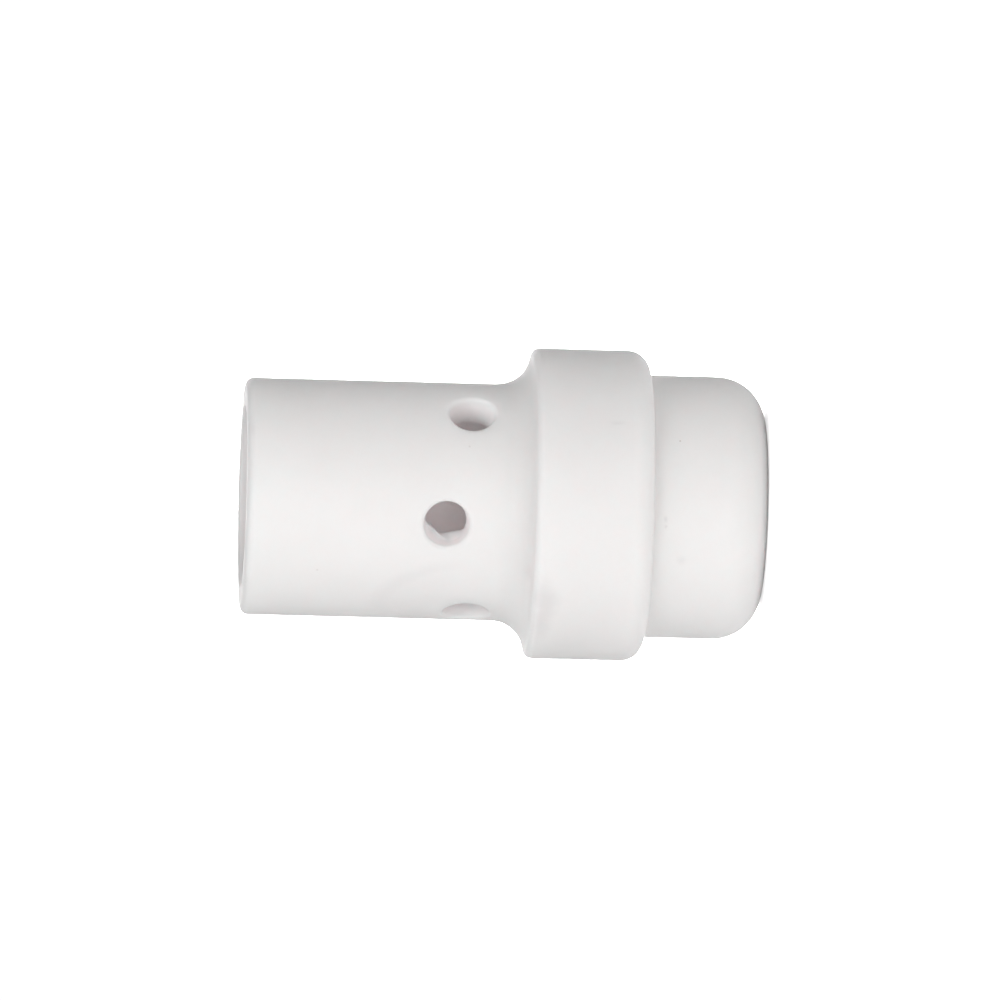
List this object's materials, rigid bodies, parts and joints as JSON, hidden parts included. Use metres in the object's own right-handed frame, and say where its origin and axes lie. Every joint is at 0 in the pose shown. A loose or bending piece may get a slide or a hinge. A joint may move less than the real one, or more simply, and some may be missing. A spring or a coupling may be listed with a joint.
{
  "type": "gas diffuser",
  "caption": "White ceramic gas diffuser for a welding torch: a tube with staggered radial gas holes, a wide centring collar and a rounded rear spigot on a stepped through bore.",
  "frame": {"origin": "centre of the rear end face, where the bore's axis leaves the spigot", "axes": "+Z along the bore's axis from the rear spigot to the front end; the first hole of the front row points to -Y, and that row's other two and the rear row's three follow every 60 degrees in turn"},
  "size_m": [0.0194, 0.0194, 0.0325],
  "materials": {
    "ceramic": "matte unglazed white ceramic"
  },
  "bodies": {
    "root": {"gas_diffuser": "ceramic"}
  },
  "joints": []
}
